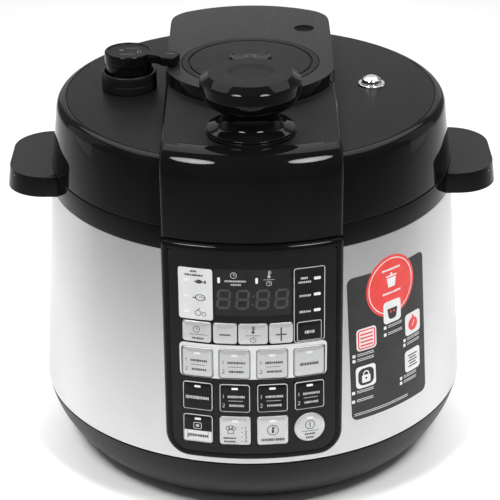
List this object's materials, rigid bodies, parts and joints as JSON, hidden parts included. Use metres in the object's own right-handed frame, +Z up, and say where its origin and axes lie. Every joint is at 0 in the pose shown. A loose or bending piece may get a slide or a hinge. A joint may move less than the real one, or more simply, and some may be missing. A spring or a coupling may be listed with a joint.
{
  "type": "electric pressure cooker",
  "caption": "Round electric pressure cooker with a hinged lid, a lid-lock knob on a raised bridge, steam valve, side handles, steel body and a curved front key panel.",
  "frame": {"origin": "on the surface it stands on, below the lid's axis", "axes": "+Z up, -Y towards the user and the control panel, +X to the user's right"},
  "size_m": [0.3356, 0.3027, 0.3023],
  "materials": {
    "gloss_black": "polished moulded plastic",
    "satin_black": "fine satin moulded plastic",
    "lid_top_grey": "fine grained satin plastic",
    "brushed_steel": "vertically brushed stainless steel",
    "polished_steel": "polished stainless steel",
    "aluminium": "spun aluminium",
    "pot_coating": "non-stick coating on aluminium",
    "rubber": "soft black rubber",
    "silicone": "translucent grey silicone",
    "panel_black": "printed gloss panel",
    "key_silver": "silver painted plastic",
    "key_black": "black plastic with printed outline",
    "smoked_window": "smoked display window",
    "circuit_green": "circuit board with parts",
    "label_grey": "printed film label",
    "zinc_steel": "zinc plated steel"
  },
  "bodies": {
    "root": {"base_tray": "satin_black", "bottom_cover": "satin_black", "rubber_feet": "rubber", "cover_screws": "zinc_steel", "steel_shell": "brushed_steel", "body_collar": "gloss_black", "side_handle_left": "satin_black", "side_handle_right": "satin_black", "cooking_well": "aluminium", "inner_pot": "pot_coating", "heating_plate": "aluminium", "thermostat_sensor": "aluminium", "sensor_bracket": "zinc_steel", "sensor_spring": "zinc_steel", "pressure_switch": "satin_black", "power_board": "circuit_green", "power_inlet": "satin_black", "panel_housing": "gloss_black", "panel_fascia": "panel_black", "display_window": "smoked_window", "display_module": "satin_black", "control_board": "circuit_green", "info_label": "label_grey", "hinge_bracket": "satin_black", "hinge_pin": "zinc_steel"},
    "lid": {"lid_shell": "gloss_black", "lid_cap": "lid_top_grey", "lid_frame": "satin_black", "inner_lid": "polished_steel", "lid_gasket": "silicone", "lid_bridge": "lid_top_grey", "bridge_disc": "lid_top_grey", "lock_boss": "gloss_black", "valve_pipe": "polished_steel", "valve_socket": "satin_black", "float_bezel": "polished_steel", "hinge_arm": "satin_black"},
    "knob": {"lid_knob": "gloss_black", "knob_shaft": "zinc_steel", "lock_pinion": "satin_black"},
    "lock_ring": {"lock_ring": "zinc_steel"},
    "steam_valve": {"steam_valve": "gloss_black"},
    "float_pin": {"float_pin": "polished_steel"},
    "key_left_step": {"key_left_step": "key_silver"},
    "key_right_step": {"key_right_step": "key_silver"},
    "key_clock": {"key_clock": "key_silver"},
    "key_timer": {"key_timer": "key_silver"},
    "key_mode": {"key_mode": "key_black"},
    "key_upper_1": {"key_upper_1": "key_silver"},
    "key_upper_2": {"key_upper_2": "key_silver"},
    "key_upper_3": {"key_upper_3": "key_silver"},
    "key_upper_4": {"key_upper_4": "key_silver"},
    "key_middle_1": {"key_middle_1": "key_black"},
    "key_middle_2": {"key_middle_2": "key_black"},
    "key_middle_3": {"key_middle_3": "key_black"},
    "key_middle_4": {"key_middle_4": "key_black"},
    "key_lower_1": {"key_lower_1": "key_black"},
    "key_lower_2": {"key_lower_2": "key_silver"},
    "key_lower_3": {"key_lower_3": "key_silver"},
    "key_lower_4": {"key_lower_4": "key_silver"}
  },
  "joints": [
    {"name": "lid_hinge", "type": "hinge", "parent": "root", "child": "lid", "pos_m": [0, 0.1448, 0.203], "axis": [-1, 0, 0], "range_deg": [0, 85]},
    {"name": "lock_ring_turn", "type": "hinge", "parent": "lid", "child": "lock_ring", "pos_m": [0, 0, 0.21], "axis": [0, 0, -1], "range_deg": [0, 17]},
    {"name": "knob_turn", "type": "hinge", "parent": "lid", "child": "knob", "pos_m": [0, -0.097, 0.28], "axis": [0, 0, -1], "range_deg": [0, 120.5]},
    {"name": "steam_valve_turn", "type": "hinge", "parent": "lid", "child": "steam_valve", "pos_m": [-0.0828, 0.006, 0.27], "axis": [0, 0, -1], "range_deg": [0, 45]},
    {"name": "float_rise", "type": "slide", "parent": "lid", "child": "float_pin", "axis": [0, 0, 1], "range_m": [0, 0.0035]},
    {"name": "key_left_step_press", "type": "slide", "parent": "root", "child": "key_left_step", "axis": [0.1218, 0.9917, -0.0421], "range_m": [0, 0.0006], "stiffness_N_per_m": 500, "springref_m": -0.0004},
    {"name": "key_right_step_press", "type": "slide", "parent": "root", "child": "key_right_step", "axis": [-0.1218, 0.9917, -0.0421], "range_m": [0, 0.0006], "stiffness_N_per_m": 500, "springref_m": -0.0004},
    {"name": "key_clock_press", "type": "slide", "parent": "root", "child": "key_clock", "axis": [0.2451, 0.9686, -0.0421], "range_m": [0, 0.0006], "stiffness_N_per_m": 500, "springref_m": -0.0004},
    {"name": "key_timer_press", "type": "slide", "parent": "root", "child": "key_timer", "axis": [0, 0.9991, -0.0421], "range_m": [0, 0.0006], "stiffness_N_per_m": 500, "springref_m": -0.0004},
    {"name": "key_mode_press", "type": "slide", "parent": "root", "child": "key_mode", "axis": [-0.2451, 0.9686, -0.0421], "range_m": [0, 0.0006], "stiffness_N_per_m": 500, "springref_m": -0.0004},
    {"name": "key_upper_1_press", "type": "slide", "parent": "root", "child": "key_upper_1", "axis": [0.2434, 0.969, -0.0421], "range_m": [0, 0.0006], "stiffness_N_per_m": 500, "springref_m": -0.0004},
    {"name": "key_upper_2_press", "type": "slide", "parent": "root", "child": "key_upper_2", "axis": [0.0819, 0.9958, -0.0421], "range_m": [0, 0.0006], "stiffness_N_per_m": 500, "springref_m": -0.0004},
    {"name": "key_upper_3_press", "type": "slide", "parent": "root", "child": "key_upper_3", "axis": [-0.0819, 0.9958, -0.0421], "range_m": [0, 0.0006], "stiffness_N_per_m": 500, "springref_m": -0.0004},
    {"name": "key_upper_4_press", "type": "slide", "parent": "root", "child": "key_upper_4", "axis": [-0.2434, 0.969, -0.0421], "range_m": [0, 0.0006], "stiffness_N_per_m": 500, "springref_m": -0.0004},
    {"name": "key_middle_1_press", "type": "slide", "parent": "root", "child": "key_middle_1", "axis": [0.2434, 0.969, -0.0421], "range_m": [0, 0.0006], "stiffness_N_per_m": 500, "springref_m": -0.0004},
    {"name": "key_middle_2_press", "type": "slide", "parent": "root", "child": "key_middle_2", "axis": [0.0819, 0.9958, -0.0421], "range_m": [0, 0.0006], "stiffness_N_per_m": 500, "springref_m": -0.0004},
    {"name": "key_middle_3_press", "type": "slide", "parent": "root", "child": "key_middle_3", "axis": [-0.0819, 0.9958, -0.0421], "range_m": [0, 0.0006], "stiffness_N_per_m": 500, "springref_m": -0.0004},
    {"name": "key_middle_4_press", "type": "slide", "parent": "root", "child": "key_middle_4", "axis": [-0.2434, 0.969, -0.0421], "range_m": [0, 0.0006], "stiffness_N_per_m": 500, "springref_m": -0.0004},
    {"name": "key_lower_1_press", "type": "slide", "parent": "root", "child": "key_lower_1", "axis": [0.2434, 0.969, -0.0421], "range_m": [0, 0.0006], "stiffness_N_per_m": 500, "springref_m": -0.0004},
    {"name": "key_lower_2_press", "type": "slide", "parent": "root", "child": "key_lower_2", "axis": [0.0819, 0.9958, -0.0421], "range_m": [0, 0.0006], "stiffness_N_per_m": 500, "springref_m": -0.0004},
    {"name": "key_lower_3_press", "type": "slide", "parent": "root", "child": "key_lower_3", "axis": [-0.0819, 0.9958, -0.0421], "range_m": [0, 0.0006], "stiffness_N_per_m": 500, "springref_m": -0.0004},
    {"name": "key_lower_4_press", "type": "slide", "parent": "root", "child": "key_lower_4", "axis": [-0.2434, 0.969, -0.0421], "range_m": [0, 0.0006], "stiffness_N_per_m": 500, "springref_m": -0.0004}
  ],
  "couplings": [
    {"joint": "knob_turn", "follows": "lock_ring_turn", "ratio": 7.0625}
  ]
}
